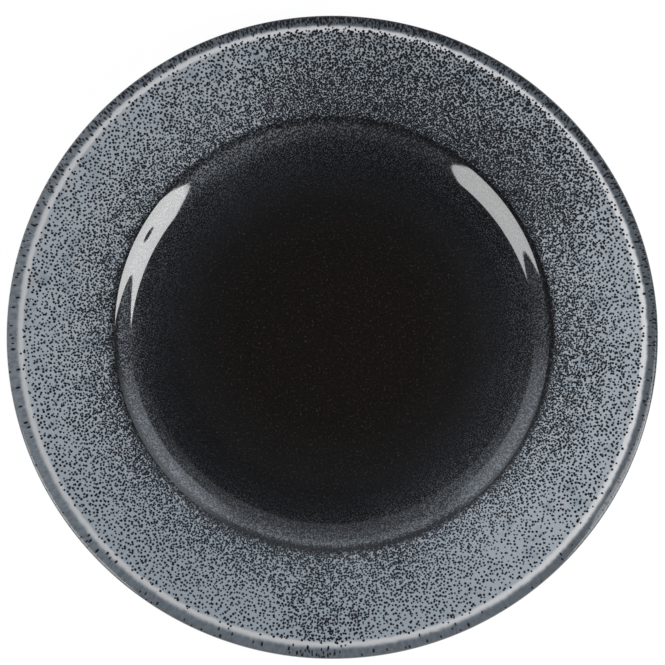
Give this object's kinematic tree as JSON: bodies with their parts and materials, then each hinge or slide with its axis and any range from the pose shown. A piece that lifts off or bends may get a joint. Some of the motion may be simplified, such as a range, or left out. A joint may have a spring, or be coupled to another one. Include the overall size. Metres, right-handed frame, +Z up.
{
  "type": "rimmed plate",
  "caption": "Round rimmed dinner plate with a shallow dark glazed well, a wide speckled grey rim and a rolled lip, on a bare foot ring.",
  "frame": {"origin": "centre of the foot ring, on the plane that the plate rests on", "axes": "+Z up along the axis of the plate, out of the well; the plate is round, so +X and +Y are any two directions square to it"},
  "size_m": [0.28, 0.28, 0.022],
  "materials": {
    "bare_clay": "bare fired clay, fine and matt",
    "speckled_glaze": "high gloss, pale blue-grey under black drops",
    "black_glaze": "high gloss brown-black",
    "grey_glaze": "gloss, pale blue-grey with stray black drops"
  },
  "bodies": {
    "root": {"clay_body": "bare_clay", "face_glaze": "speckled_glaze", "well_glaze": "black_glaze", "underside_glaze": "grey_glaze", "base_glaze": "grey_glaze"}
  },
  "joints": []
}
